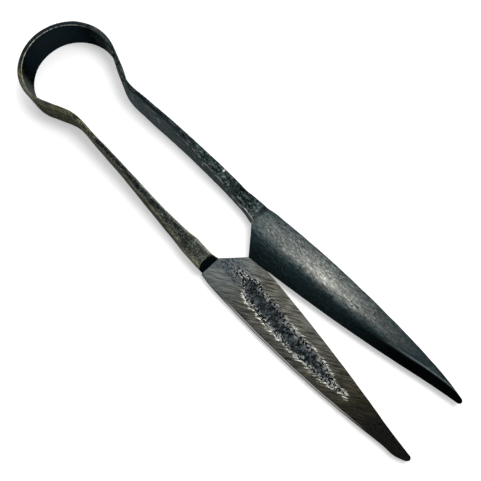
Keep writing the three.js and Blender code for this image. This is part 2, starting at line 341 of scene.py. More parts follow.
def bow_half(arm):
    def place(u, v, w):
        return strap_corner(arm, SEAM_PLACE * u, v, w)

    rings = round(SEAM_PLACE / BOW_STEP)
    return shaped_bar(arm["name"] + "_bow_spring", (rings, ACROSS_CELLS, UP_CELLS), place)


bow_halves = {name: bow_half(arm) for name, arm in ARMS.items()}
for name, arm in ARMS.items():
    half = bow_halves[name]
    x0, y0 = bow_place(arm, 32)
    x1, y1 = bow_place(arm, 64)
    start = in_frame(x0, arm["side"] * y0, STRAP_HEIGHT / 2)
    end = in_frame(x1, arm["side"] * y1, STRAP_HEIGHT / 2)
    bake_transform(half, "bow", name + "_side", start, end)
    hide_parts("bow_crown", name + "_bow_side")

# %% [markdown]
# A blade is set at a slight angle, with its heel where the shank ends. The upper blade lies
# on its flat face and the lower one is turned over, so that its flat face looks up. We need
# the heel's place before the shanks, because the shank runs to it.


# %% Where each blade lies
def blade_axis(arm):
    turn = math.radians(arm["setting"])
    return math.cos(turn), math.sin(turn)


def on_arm(arm, x, y, z):
    """A place on the blade (heel at x 0, back at y above 0, flat face z 0) in the model's frame."""
    ax, ay = blade_axis(arm)
    heel_x = LENGTH - BLADE_LENGTH * ax
    heel_y = arm["tip_y"] - BLADE_LENGTH * ay
    px = heel_x + x * ax - y * ay
    py = heel_y + x * ay + y * ax
    return px, arm["side"] * py, arm["face_z"] + arm["side"] * z


for name, arm in ARMS.items():
    print(name, "heel at", [round(v, 1) for v in on_arm(arm, 0, 0, 0)])

# %% [markdown]
# Each shank is drawn out of the strap: it keeps the strap's section at the neck, and is wider
# and lower at the root. The stations of its course are joined with a Catmull-Rom curve, the
# same smooth line through given points that a curve object would use, and then walked in
# equal steps so that the cells are even.


# %% The shank's course from the bow to the blade
def smooth_line(stations, steps=40):
    s = np.array(stations, float)
    s = np.vstack([2 * s[0] - s[1], s, 2 * s[-1] - s[-2]])
    t = np.linspace(0, 1, steps, endpoint=False)[:, None]
    spans = []
    for a, b, c, d in zip(s[:-3], s[1:-2], s[2:-1], s[3:]):
        spans.append(
            b + 0.5 * t * (c - a) + t**2 * (a - 2.5 * b + 2 * c - 0.5 * d)
            + t**3 * (-0.5 * a + 1.5 * b - 1.5 * c + 0.5 * d)
        )
    return np.vstack([*spans, s[-2:-1]])


def arm_course(arm):
    """Rows of x, y, width, foot's lean, height, place along the blade, from the seam on."""
    start = bow_place(arm, SIDE_ANGLE)
    hx, hy = bow_heading(arm, SIDE_ANGLE)
    ax, ay = blade_axis(arm)
    width = arm["outer"] - arm["inner"]
    middle = (arm["outer"] + arm["inner"]) / 2
    end_x = LENGTH - BLADE_LENGTH * ax - middle * ay - ROOT_LENGTH * ax
    end_y = arm["tip_y"] - BLADE_LENGTH * ay + middle * ax - ROOT_LENGTH * ay
    rows = [
        (*start, STRAP_THICKNESS, 0, STRAP_HEIGHT),
        (start[0] + hx * NECK_STRAIGHT, start[1] + hy * NECK_STRAIGHT, STRAP_THICKNESS, 0, STRAP_HEIGHT),
    ]
    for share, outer, inner, lean, fall in arm["way"]:
        height = mix(STRAP_HEIGHT, ROOT_HEIGHT, fall)
        x = mix(arm["neck_x"], end_x, share)
        rows.append((x, (outer + inner) / 2, outer - inner, lean, height))
    rows.append((end_x - 6 * ax, end_y - 6 * ay, width, 0, ROOT_HEIGHT))
    rows.append((end_x, end_y, width, 0, ROOT_HEIGHT))
    shank = smooth_line(rows)
    before_end = (shank[:, 0] - end_x) * ax + (shank[:, 1] - end_y) * ay
    shank = np.column_stack([shank, before_end - ROOT_LENGTH])
    angles = np.linspace(SEAM_PLACE, SIDE_ANGLE, 40, endpoint=False)
    strap = [(*bow_place(arm, a), STRAP_THICKNESS, 0, STRAP_HEIGHT, -LENGTH) for a in angles]
    lap = np.linspace(0.3, ROOT_LENGTH + ROOT_LAP, 40)
    root = [(end_x + d * ax, end_y + d * ay, width, 0, ROOT_HEIGHT, d - ROOT_LENGTH) for d in lap]
    return np.vstack([strap, shank, root])


def even_steps(rows, step):
    lengths = np.hypot(*np.diff(rows[:, :2], axis=0).T)
    walked = np.concatenate([[0], np.cumsum(lengths)])
    count = round(walked[-1] / step)
    at = np.linspace(0, walked[-1], count + 1)
    even = np.column_stack([np.interp(at, walked, column) for column in rows.T])
    heading = np.gradient(even[:, :2], axis=0)
    return even, heading / np.linalg.norm(heading, axis=1)[:, None]


courses = {name: even_steps(arm_course(arm), 0.6) for name, arm in ARMS.items()}
print("rings along the arms:", {name: len(c[0]) for name, c in courses.items()})

# %% [markdown]
# At the root the lower arm falls to the blade's flat face in one steep step, with a rounded
# front where the smith's hammer was set down. On the upper arm that step is underneath, and
# the top runs out over the blade. Both are the same bar with its top or its foot let down.

# %% The root: the step and the flare
STEP_TOP = -0.4  # where the step starts at its two ends
STEP_ARC = 1.5  # how far its middle is set towards the bow
STEP_FOOT = 2.5
SUNK_TOP = {"upper": 7.4, "lower": 4.3}  # the bar's top where it runs into the plate
SUNK_FOOT = {"upper": 5.0, "lower": 1.9}
FLARE_CURVE = 1.7  # above 1, so the flare starts gently and ends sharply


def bar_heights(arm, blade_x, share):
    """Top and foot of the bar, in millimetres, near the blade. share runs from inner to outer side."""
    start = STEP_TOP - STEP_ARC * (1 - (2 * share - 1) ** 2)
    ramp = min(1.0, max(0.0, (blade_x - start) / (STEP_FOOT - start)))
    sink = blend_in(-1, ROOT_LAP, blade_x)
    top_way, foot_way = (sink, ramp) if arm["side"] > 0 else (ramp, sink)
    top = mix(ROOT_HEIGHT, SUNK_TOP[arm["name"]], top_way)
    return top, mix(0, SUNK_FOOT[arm["name"]], foot_way)


def flare(arm, blade_x, share_up):
    """How far the inner side turns in towards the blade's heel. share_up runs from foot to top."""
    turn_in = arm["flare"]
    near = min(1.0, max(0.0, (blade_x + turn_in["run"]) / (turn_in["run"] + arm["heel_set"])))
    return near**FLARE_CURVE * mix(turn_in["foot"], turn_in["top"], share_up)


print("the step is", STEP_FOOT - STEP_TOP + STEP_ARC, "mm long in its middle")


# %% [markdown]
# Years of use have marked the shanks. The iron once lapped over itself under the hammer, so a
# dark fold runs along the top of the upper shank with a light line beside it, and further on
# there is one bright nick. Both are cut into the mesh. The skin's wear is written on the mesh's
# corners as three masks, which the finish reads later: worn is 1 where the iron is rubbed
# bright, browned is 1 where it has an olive rust, and thin_skin_and_painted_light runs from -1
# where the black skin is whole to 1.6 where it is scraped off. On the side faces that last mask
# also carries a painted sheen, the pale floor's reflection painted in as bare iron, and on the
# lower root's step it carries painted shade.

# %% Marks on the shanks
NICK = (127.9, 20.1)
NICK_DEPTH = 0.25
FOLD = ((64, 15.6), (79, 16.3), (95, 17.2), (104.5, 16.6), (106, 18.4), (98, 19.5))
FOLD_DEPTH = 0.35
FOLD_WIDTH = 0.55


def from_fold(x, y):
    """Distance of a place from the fold's line, in millimetres."""
    nearest = 99.0
    for (x0, y0), (x1, y1) in zip(FOLD, FOLD[1:]):
        dx, dy = x1 - x0, y1 - y0
        t = min(1, max(0, ((x - x0) * dx + (y - y0) * dy) / (dx * dx + dy * dy)))
        nearest = min(nearest, math.hypot(x - x0 - t * dx, y - y0 - t * dy))
    return nearest


def rubbed_line(arm, x, from_middle, width, along):
    """A bright line that wanders along the top, beside the inner corner."""
    line = -width / 2 + 0.3 + 0.35 * noise.noise((x / 4, arm["side"] * 3, 7.7))
    seen_along = blend_in(0.82, 0.95, along)
    if arm["side"] > 0:
        seen_along = mix(0.75 * blend_in(0.12, 0.2, along), 1, blend_in(0.56, 0.62, along))
    return 0.85 * seen_along * bump_at(from_middle - line, 0.34)


def skin_on_bar(arm, along, blade_x, across_share, out_across, upright):
    """How thin the skin is, with a painted sheen on the side faces, and how far it is browned, at a place on
    an arm's bar.
    """
    if arm["side"] > 0:
        # the upper arm's inner side face gets the bare colour as a painted reflection of the pale floor
        painted_side_sheen = upright * (out_across < 0) * mix(1.75, 1.35, blend_in(0.1, 0.6, along))
        return mix(0.5, painted_side_sheen, blend_in(0, 0.1, along)) + 0.4 * blend_in(-6, 1, blade_x), 0.0
    near_neck = 1 - blend_in(0.24, 0.42, along)
    outer_edge = blend_in(0.12, 0.5, across_share)
    on_inside = blend_in(0.3, 0.9, -out_across) * (1 - blend_in(0, 0.12, along))
    browned = max(0.9 * near_neck, 0.7 * outer_edge) * (1 - on_inside)
    near_side = blend_in(0.22, 0.48, abs(across_share))
    # the side faces are made bare partly from handling and partly as painted sheen
    handled_and_side_sheen = max(0.9 * near_side, 1.2 * upright)
    thinness_and_light = mix(mix(1.0, 1.5, on_inside), handled_and_side_sheen, blend_in(0.03, 0.15, along))
    return max(thinness_and_light, 0.16 * blend_in(0.7, 0.9, along)), browned


print("the fold comes within", round(from_fold(*NICK)), "mm of the nick")

# %% [markdown]
# An arm's bar is one mesh from the bow's side to the blade. Every ring of corners is put
# square across the course at its step, leant out at the foot, dented, and let down at the
# root. It also bends with the neck, so it is blended between the bow's side and the arm.


# %% The bar of each arm
def arm_bar(arm):
    rows, headings = courses[arm["name"]]
    last = len(rows) - 1
    upper = arm["side"] > 0

    def place(u, v, w):
        i = round(u * last)
        x, y, width, lean, height, blade_x = rows[i]
        hx, hy = headings[i]
        across, up, out_across, out_up = forged_section(v, w, width, height, strap_rounding(x))
        on_root = blade_x > -ROOT_LENGTH
        top, foot = bar_heights(arm, blade_x, across / width + 0.5) if on_root else (height, 0.0)
        share_up = up / height
        out = across + lean * (1 - share_up)
        dent = hammered(x - hy * out, arm["side"] * (y + hx * out), up)
        out -= flare(arm, blade_x, share_up) * max(0, -across / width * 2)
        px = x - hy * (out + out_across * dent)
        py = y + hx * (out + out_across * dent)
        on_top = blend_in(0.8, 0.97, share_up) if upper else 0.0
        nick = on_top * bump_at(px - NICK[0], 0.9) * bump_at(py - NICK[1], 1.4)
        fold = on_top * bump_at(from_fold(px, py), FOLD_WIDTH) if on_top > 0 else 0.0
        sunk = NICK_DEPTH * nick + FOLD_DEPTH * fold
        pz = min(STRAP_HEIGHT, max(0, mix(foot, top, share_up) + out_up * (dent - sunk)))

        along = i / last
        upright = abs(out_across) * (1 - blend_in(0.15, 0.6, abs(out_up)))
        thinness_and_light, browned = skin_on_bar(arm, along, blade_x, across / width, out_across, upright)
        worn = 1.4 * abs(out_across * out_up)
        if w > 0.5:
            worn = max(worn, rubbed_line(arm, x, across, width, along))
        if on_root and not upper and w > 0.9:
            # the step's top edge is bright, and its face is painted black: painted shade on the steep step
            past_step = blade_x - STEP_TOP + STEP_ARC * (1 - (2 * across / width) ** 2)
            worn = max(worn, 0.9 * bump_at(past_step, 0.45))
            step_shade = blend_in(0.3, 0.9, past_step)
            worn, browned = mix(worn, 0, step_shade), mix(browned, 0, step_shade)
            thinness_and_light = mix(thinness_and_light, -2, step_shade)
        if fold > 0:
            thinness_and_light = mix(thinness_and_light, -3, min(1, 1.6 * fold))
            beside = bump_at(from_fold(px, py - 0.75), 0.4)
            worn = max(worn, 0.8 * on_top * beside * (1 - fold) * blend_in(76, 84, px))
        masks = {"worn": max(worn, nick), "browned": browned, "thin_skin_and_painted_light": thinness_and_light}
        return in_frame(px, arm["side"] * py, pz), masks

    return shaped_bar(arm["name"] + "_arm_bar", (last, ACROSS_CELLS, UP_CELLS), place)


arm_bars = {name: arm_bar(arm) for name, arm in ARMS.items()}
for name, arm in ARMS.items():
    bar = arm_bars[name]
    x0, y0 = bow_place(arm, 98)
    x1, y1 = arm["neck_x"], arm["way"][0][1] - 1.4
    start = in_frame(x0, arm["side"] * y0, STRAP_HEIGHT / 2)
    end = in_frame(x1, arm["side"] * y1, STRAP_HEIGHT / 2)
    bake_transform(bar, name + "_side", name + "_arm", start, end)
    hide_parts(name + "_shank")

# %% [markdown]
# The blades are plates beaten out from the shank. The outline is two long curves that meet at
# a rounded point. The outer face is hollow towards the back, crests along the middle and
# falls away to a ground bevel; the flat face has the long pitted hollow that scale leaves.

# %% The blade's outline
EDGE_SIDE = {"tip": 1.5, "full": 15.6, "run": 170}


def side_width(side, from_tip):
    rest = max(0, 1 - from_tip / side["run"])
    return side["tip"] + (side["full"] - side["tip"]) * (1 - rest * rest)


def tip_rounding(from_tip):
    t = min(1, from_tip / 1.6)
    return math.sqrt(max(0, 1 - (1 - t) ** 2))


def tip_lean(from_tip):
    return 1.2 * max(0, 1 - from_tip / 25) ** 2


def back_line(arm, x):
    from_tip = BLADE_LENGTH - x
    shoulder = 1.2 * max(0, 1 - x / 12) ** 2
    wave = 0.12 * noise.noise((x / 6, arm["side"] * 5, 1.5))
    belly = arm["tip_belly"] * bump_at(from_tip - 7, 6)
    wide = side_width(arm["back"], from_tip) + wave + belly
    return wide * tip_rounding(from_tip) - tip_lean(from_tip) - shoulder


def edge_line(arm, x):
    from_tip = BLADE_LENGTH - x
    wave = 0.08 * noise.noise((x / 5, arm["side"] * 5, 8.5))
    return -(side_width(EDGE_SIDE, from_tip) + wave) * tip_rounding(from_tip) - tip_lean(from_tip)


def heel_line(arm, share):
    return arm["heel_set"] + arm["heel_run"] * max(0, (share - arm["heel_from"]) / (1 - arm["heel_from"]))


print("blade is", round(back_line(UPPER, 15) - edge_line(UPPER, 15), 1), "mm wide near the heel")

# %% [markdown]
# The thickness of the plate is one height for each place on it, so the outer face is a simple
# relief. Near the heel of the upper blade the shank's end still stands up out of the plate:
# the larger of the two heights is taken, with a soft turn from one to the other, as a smith's
# fuller leaves it.

# %% The outer face
RIDGE_PLACE = 0.5
RIDGE_HEIGHT = (4.5, 2.3)  # at the heel and at the tip
BACK_HEIGHT = 2.6
EDGE_HEIGHT = (1.5, 1.9)
BEVEL_SLOPE = (0.5, 0.36)
BEVEL_FOOT = 0.45  # thickness of the cutting edge


def soft_larger(a, b, softness):
    t = min(1.0, max(0.0, 0.5 + 0.5 * (a - b) / softness))
    return mix(b, a, t) + softness * t * (1 - t)


def plate_height(along, share, width):
    """The outer face's height, with how near it is to the bevel's crest and how far down the bevel."""
    ridge = mix(*RIDGE_HEIGHT, along)
    back_height = min(BACK_HEIGHT, ridge - 0.4)
    if share < RIDGE_PLACE:
        body = mix(ridge, back_height, (1 - share / RIDGE_PLACE) ** 1.8)
    else:
        body = mix(ridge, mix(*EDGE_HEIGHT, along), ((share - RIDGE_PLACE) / (1 - RIDGE_PLACE)) ** 1.5)
    bevel = BEVEL_FOOT + (1 - share) * width * mix(*BEVEL_SLOPE, along)
    crisp = blend_in(0.3, 0.75, along)
    crest = bump_at(body - bevel, 0.16) * blend_in(0.6, 0.8, along)
    on_bevel = blend_in(0, 0.3, body - bevel) * blend_in(0.45, 0.75, along)
    return -soft_larger(-body, -bevel, mix(1.2, 0.06, crisp)), crest, on_bevel


def root_swell(arm, x, y):
    """Height of the shank's end above the flat face, where it stands up out of the plate."""
    top, _ = bar_heights(arm, x, 0.5)
    crest = top - arm["face_z"] + 0.04
    outside = max(0, arm["inner"] - y, y - arm["outer"])
    run_out = blend_in(1, 17, x)
    return mix(crest, 2.2, run_out) - outside * mix(1.3, 0.35, run_out)


heel_top, _, _ = plate_height(0, RIDGE_PLACE, 28)
print("the plate is", round(heel_top, 1), "mm thick on its ridge at the heel")

# %% [markdown]
# The flat face is filed, except in the long hollow down its middle, where the black scale was
# never cleaned out. Its two rims are given by their distance from the blade's middle line at a
# few places along the blade, and noise makes them ragged.

# %% The hollow in the flat face
HOLLOW_DEPTH = 0.55
PIT_DEPTH = 0.42
HOLLOW_BACK_RIM = (
    (8, 0.5), (16, 1.6), (20, 1), (24, 3), (31, 4.6), (49, 5.4),
    (62, 5.3), (70, 4.4), (85, 3.8), (91, 2.3), (97, 0),
)
HOLLOW_EDGE_RIM = (
    (8, 7), (15, 7.6), (27, 6.8), (32, 5), (43, 5.8), (47, 4.5),
    (56, 2.7), (66, 3.3), (82, 2.1), (92, -0.3), (97, -0.6),
)


def rim_at(rim, x):
    return float(np.interp(x, [p[0] for p in rim], [p[1] for p in rim]))


def inside_hollow(x, y):
    """How far inside the hollow's rim a place is, in millimetres; below 0 outside it."""
    back = rim_at(HOLLOW_BACK_RIM, x) - y
    edge = rim_at(HOLLOW_EDGE_RIM, x) + y
    near_end = min(x - 7.5, 99 - x) * 0.6
    ragged = 0.9 * noise.noise((x / 2.2, y / 2.2, 3.3)) + 0.5 * noise.noise((x / 0.9, y / 0.9, 9.1))
    return min(min(back, edge) + 0.5, near_end) + ragged - 3.2 * (1 - blend_in(16, 28, x))


def rim_brightness(x, y):
    """The back rim is bright from a little past the heel on, the other one only further out."""
    back = mix(0.1, 1, blend_in(19, 29, x))
    edge = mix(0.12, 0.9, blend_in(44, 64, x))
    return mix(edge, back, blend_in(-0.5, 0.5, y + 1.2 * (1 - blend_in(60, 90, x))))


def scale_at_heel(x, y):
    """How thickly the black scale left at the heel lies, from 0 to 1."""
    uneven = 1.6 * noise.noise((x / 3.5, y / 3.5, 14.2))
    beside = min(4.5 - y, 8.5 + y) + uneven
    return blend_in(0, 2.5, beside) * blend_in(1, 5, x + uneven) * (1 - blend_in(16, 24, x + uneven))


def flat_face_drop(x, y):
    """How far the flat face lies below its plane, and how far inside the hollow the place is."""
    inside = inside_hollow(x, y)
    bowl = HOLLOW_DEPTH * blend_in(0, 3.2, inside)
    scab = noise.noise((x / 1.5, y / 1.5, 5.5)) + 0.6 * noise.noise((x / 0.7, y / 0.7, 1.2))
    pits = PIT_DEPTH * blend_in(-0.3, 0.6, inside) * scab
    return max(0.0, bowl + pits), inside


print("hollow at mid-length is", rim_at(HOLLOW_BACK_RIM, 49) + rim_at(HOLLOW_EDGE_RIM, 49), "mm wide")

# %% [markdown]
# A plate is the same cut-up cube as a bar, with its cells crowded towards the back, the cutting
# edge and the point, where the shape is crispest. Its masks say where the place is across and
# along the blade, so that the finish can be dark in one part and carry a painted highlight in
# another. A strip beside the lower blade's back was filed down, and it is sunk in the mesh too.

# %% The blade plates
PLATE_CELLS = (330, 68, 3)  # along, across and through the plate
POINT_GAP = 0.03  # the last ring stands this far short of the point, so that it has a width
BACK_ROUNDING = 0.45
STRIP_WIDTH = 1.1


def crowded(t):
    """Cells crowd towards both ends, so that the back and the cutting edge stay crisp."""
    return t - 0.5 * math.sin(2 * math.pi * t) / (2 * math.pi)


def painted_highlight(share, along):
    """Where a painted highlight lies on the outer face: along its crest, and a spot at the heel."""
    crest = bump_at(share - 0.43, 0.14) * bump_at(along - 0.36, 0.15)
    spot = bump_at(share - 0.26, 0.13) * bump_at(along - 0.07, 0.045)
    return crest + 0.45 * spot


def blade_plate(arm):
    def place(u, v, w):
        share = crowded(1 - v)
        x = mix(heel_line(arm, share), BLADE_LENGTH - POINT_GAP, 1 - (1 - u) ** 1.25)
        back, edge = back_line(arm, x), edge_line(arm, x)
        y = mix(back, edge, share)
        width = back - edge
        along = x / BLADE_LENGTH
        height, crest, bevel = plate_height(along, share, width)
        if arm["side"] > 0:
            height = soft_larger(height, root_swell(arm, x, y), 0.8)
        from_back = share * width
        rounding = min(BACK_ROUNDING, height * 0.3)
        off = max(0, rounding - from_back)
        corner = rounding - math.sqrt(max(0, rounding**2 - off**2))
        filed = blend_in(16, 30, x) * (1 - blend_in(98, 120, x)) if arm["side"] < 0 else 0.0
        strip = 0.6 * max(0, STRIP_WIDTH - from_back) * filed
        drop, inside = flat_face_drop(x, y)
        dent = hammered(x * 1.3, y * 1.3 + arm["side"] * 40, 2)
        calm = blend_in(0, 10, BLADE_LENGTH - x) * blend_in(0, 3, (1 - share) * width)
        top = height - corner + dent * (0.25 + 0.75 * calm)
        z = mix(corner + drop + strip, top, w)
        masks = {
            "share": share,
            "along": along,
            "inside": inside if w < 0.2 else -5.0,
            "from_back": min(3.0, from_back),
            "back_filed": filed,
            "heel_scale": scale_at_heel(x, y),
            "rim_bright": rim_brightness(x, y),
            "crest": crest * w,
            "painted_highlight": painted_highlight(share, along),
            "bevel": bevel * w,
        }
        return in_frame(*on_arm(arm, x, y, z)), masks

    return shaped_bar(arm["name"] + "_blade_plate", PLATE_CELLS, place)


blade_plates = {name: blade_plate(arm) for name, arm in ARMS.items()}
for name, plate in blade_plates.items():
    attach(plate, name + "_arm")
    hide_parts(name + "_blade", name + "_edge_steel")

# %% [markdown]
# Finishes. Colours are written as they look on a screen, and one function turns them into the
# plain light values that the shader works in. A pattern's scale is given by the real size, in
# millimetres, of one of its spots or lines.


# %% Colours and nodes
def paint(code):
    """A colour such as '3a4044' as red, green, blue and 1, in light values."""
    parts = [int(code[i : i + 2], 16) / 255 for i in (0, 2, 4)]
    return (*(p / 12.92 if p <= 0.04045 else ((p + 0.055) / 1.055) ** 2.4 for p in parts), 1)


def every(size):
    """The scale of a pattern whose spots are so many millimetres across."""
    return 1 / (size * MM)


def new_finish(name):
    finish = bpy.data.materials.new(name)
    finish.use_nodes = True
    finish.node_tree.nodes.clear()
    return finish


def add(finish, kind, inputs=(), **settings):
    """Adds a node with its settings; inputs gives values, or other nodes' outputs to link."""
    node = finish.node_tree.nodes.new("ShaderNode" + kind)
    for setting, value in settings.items():
        setattr(node, setting, value)
    for socket, value in dict(inputs).items():
        if isinstance(value, bpy.types.NodeSocket):
            finish.node_tree.links.new(value, node.inputs[socket])
        else:
            node.inputs[socket].default_value = value
    return node


print("mid grey in light values:", round(paint("808080")[0], 3))

# %% [markdown]
# Forge-blackened iron is bare iron under a skin of blue-black oxide from the fire. The skin
# takes nearly all the light, and every fleck that has come off shows grey metal. So the finish
# is all metal, and its colour says how much of the skin is left: nearly black where it is
# whole, grey where hands and work have rubbed it away. Four sizes of noise do this: broad
# patches, flecks of scale a millimetre or so across, streaks drawn out along the bar, and a
# grain. The arms' side faces are also given the grey as a painted sheen of the pale floor, and
# the step at the lower root is given the black as painted shade. The eye sees a dull, speckled
# sheen with bright corners. The lower arm has the same iron with an olive rust on it, as oiled
# iron gets, so one function makes both.


# %% Forge-blackened iron for the bow and the shanks
def forged_iron(name, skin, skin_dark, bare, rubbed, rust, rust_dark):
    m = new_finish(name)
    place = add(m, "TexCoord").outputs["Object"]
    worn, browned, thinness_and_light = (
        add(m, "Attribute", attribute_name=mask).outputs["Fac"] for mask in ("worn", "browned", "thin_skin_and_painted_light")
    )
    drawn = add(m, "Mapping", {"Vector": place, "Scale": (0.22, 1, 0.6)}).outputs[0]
    patch = add(
        m, "TexNoise", {"Vector": place, "Scale": every(7.14), "Detail": 5, "Roughness": 0.6}
    ).outputs[0]
    fleck = add(
        m, "TexNoise",
        {"Vector": place, "Scale": every(1.5625), "Detail": 4, "Roughness": 0.7, "Distortion": 1.2},
    ).outputs[0]
    streak = add(
        m, "TexNoise", {"Vector": drawn, "Scale": every(1.316), "Detail": 3, "Roughness": 0.65}
    ).outputs[0]
    grain = add(
        m, "TexNoise", {"Vector": place, "Scale": every(0.769), "Detail": 2, "Roughness": 0.6}
    ).outputs[0]
    coarse = add(m, "Mix", {0: 0.55, 2: fleck, 3: streak}, data_type="FLOAT").outputs[0]
    speckle = add(m, "Mix", {0: 0.4, 2: coarse, 3: grain}, data_type="FLOAT").outputs[0]
    crust = add(m, "MapRange", {0: speckle, 1: 0.44, 2: 0.58}).outputs[0]
    skin_colour = add(m, "Mix", {0: crust, 6: paint(skin_dark), 7: paint(skin)}, data_type="RGBA").outputs[2]
    # bare flecks come where the noise is highest, and oftener where the skin is thin
    reach = add(m, "Math", {0: thinness_and_light, 1: 0.07, 2: speckle}, operation="MULTIPLY_ADD").outputs[0]
    fleck_mask = add(m, "MapRange", {0: reach, 1: 0.54, 2: 0.68}).outputs[0]
    flecked = add(m, "Mix", {0: fleck_mask, 6: skin_colour, 7: paint(bare)}, data_type="RGBA").outputs[2]
    # the bare colour on the side faces is a painted sheen as well as thin skin
    bare_and_sheen_mask = add(m, "Math", {0: thinness_and_light, 1: 0.65}, operation="MULTIPLY", use_clamp=True).outputs[0]
    handled_and_side_sheen = add(m, "Mix", {0: bare_and_sheen_mask, 6: flecked, 7: paint(bare)}, data_type="RGBA").outputs[2]
    # where it is scraped off, and on the side faces painted as sheen, drag marks run along the bar
    scraped_and_sheen_mask = add(m, "MapRange", {0: thinness_and_light, 1: 1.0, 2: 1.6}).outputs[0]
    drag_and_sheen_colour = add(m, "Mix", {0: streak, 6: paint("40474a"), 7: paint("7f8586")}, data_type="RGBA").outputs[2]
    scraped_and_sheen = add(m, "Mix", {0: scraped_and_sheen_mask, 6: handled_and_side_sheen, 7: drag_and_sheen_colour}, data_type="RGBA").outputs[2]
    # where it is whole it is smooth and blue, and the lower root's step face is painted this dark as shade
    whole_skin_and_shade_mask = add(m, "MapRange", {0: thinness_and_light, 1: -0.4, 2: -1.2}).outputs[0]
    iron = add(m, "Mix", {0: whole_skin_and_shade_mask, 6: scraped_and_sheen, 7: paint("1d2529")}, data_type="RGBA").outputs[2]
    patch_mask = add(m, "MapRange", {0: patch, 1: 0.35, 2: 0.6}).outputs[0]
    rust_colour = add(m, "Mix", {0: crust, 6: paint(rust_dark), 7: paint(rust)}, data_type="RGBA").outputs[2]
    rust_mask = add(m, "Math", {0: browned, 1: patch_mask}, operation="MULTIPLY").outputs[0]
    aged = add(m, "Mix", {0: rust_mask, 6: iron, 7: rust_colour}, data_type="RGBA").outputs[2]
    rub_line = add(m, "MapRange", {0: worn, 1: 0.5, 2: 1.0}).outputs[0]
    rub_break = add(m, "MapRange", {0: streak, 1: 0.35, 2: 0.6, 3: 0.15}).outputs[0]
    rub = add(m, "Math", {0: rub_line, 1: rub_break}, operation="MULTIPLY").outputs[0]
    colour = add(m, "Mix", {0: rub, 6: aged, 7: paint(rubbed)}, data_type="RGBA").outputs[2]
    rough = add(m, "MapRange", {0: speckle, 1: 0.4, 2: 0.62, 3: 0.58, 4: 0.36}).outputs[0]
    relief = add(m, "Bump", {"Strength": 0.6, "Distance": 0.3 * MM, "Height": speckle}).outputs[0]
    # a rubbed corner is dusty as well as bright, so it also scatters light
    metal = add(m, "MapRange", {0: rub, 3: 1, 4: 0.45}).outputs[0]
    shader = add(
        m, "BsdfPrincipled", {"Base Color": colour, "Roughness": rough, "Metallic": metal, "Normal": relief}
    )
    # the skin stays dark even where it is seen edge-on, which plain metal would not
    shader.inputs["Specular Tint"].default_value = (0.15, 0.17, 0.18, 1)
    add(m, "OutputMaterial", {"Surface": shader.outputs[0]})
    return m


# the skin's two colours, the bare iron, the rubbed corners, the rust's two colours
blacked_iron = forged_iron("forge_blacked_iron", "2a3434", "070a0b", "4e5656", "d0d0c6", "45442f", "1c1d14")
browned_iron = forged_iron("oil_browned_iron", "2a3231", "07090a", "6c6e64", "c4c3ae", "7b785e", "26271c")
for name, iron in (("upper", blacked_iron), ("lower", browned_iron)):
    bow_halves[name].data.materials.append(iron)
    arm_bars[name].data.materials.append(iron)
print("two forged irons on", len(bow_halves) + len(arm_bars), "pieces")

# %% [markdown]
# The outer face of a blade has the same black skin, but the smith ground the back half of it
# lightly. It is satin metal: mottled grey along the middle, nearly black towards the cutting edge,
# with a thin light line where the bevel starts. Much of this is painted light: a painted highlight
# along the crest and in a spot at the heel, a painted sheen on the back slope that fades towards
# heel and tip, painted shade on the cutting slope and the bevel, and the light line is a painted
# highlight too. The masks that were put on the mesh say how far a place is from the back and from
# the heel, and noise keeps the border from being a line.


# %% Worn blade iron
def ground_and_sheen_share(m, patch, share, along):
    """How far the bare colour shows: where the black skin was ground off on the back half, and a painted
    sheen that peaks short of mid-length.
    """
    border = add(m, "Math", {0: patch, 1: -0.35, 2: share}, operation="MULTIPLY_ADD").outputs[0]
    # the split between the grey back slope and the dark cutting slope follows the lit and the shaded side of
    # the ridge, so it is partly painted light and shade
    ground_and_lit_side = add(m, "MapRange", {0: border, 1: 0.46, 2: 0.28}).outputs[0]
    to_tip = add(m, "MapRange", {0: along, 1: 0.4, 2: 0.78, 3: 1, 4: 0.1}).outputs[0]
    to_heel = add(m, "MapRange", {0: along, 1: 0.0, 2: 0.28, 3: 0.2, 4: 1}).outputs[0]
    # the back edge is kept darker, so that the painted sheen lies on the crest
    back_dark = add(m, "MapRange", {0: share, 1: 0.02, 2: 0.22, 3: 0.3, 4: 1}).outputs[0]
    # the fade towards tip and heel shapes the painted sheen along the length
    sheen_by_length = add(m, "Math", {0: to_tip, 1: to_heel}, operation="MULTIPLY").outputs[0]
    by_both = add(m, "Math", {0: ground_and_lit_side, 1: sheen_by_length}, operation="MULTIPLY").outputs[0]
    return add(m, "Math", {0: by_both, 1: back_dark}, operation="MULTIPLY").outputs[0]


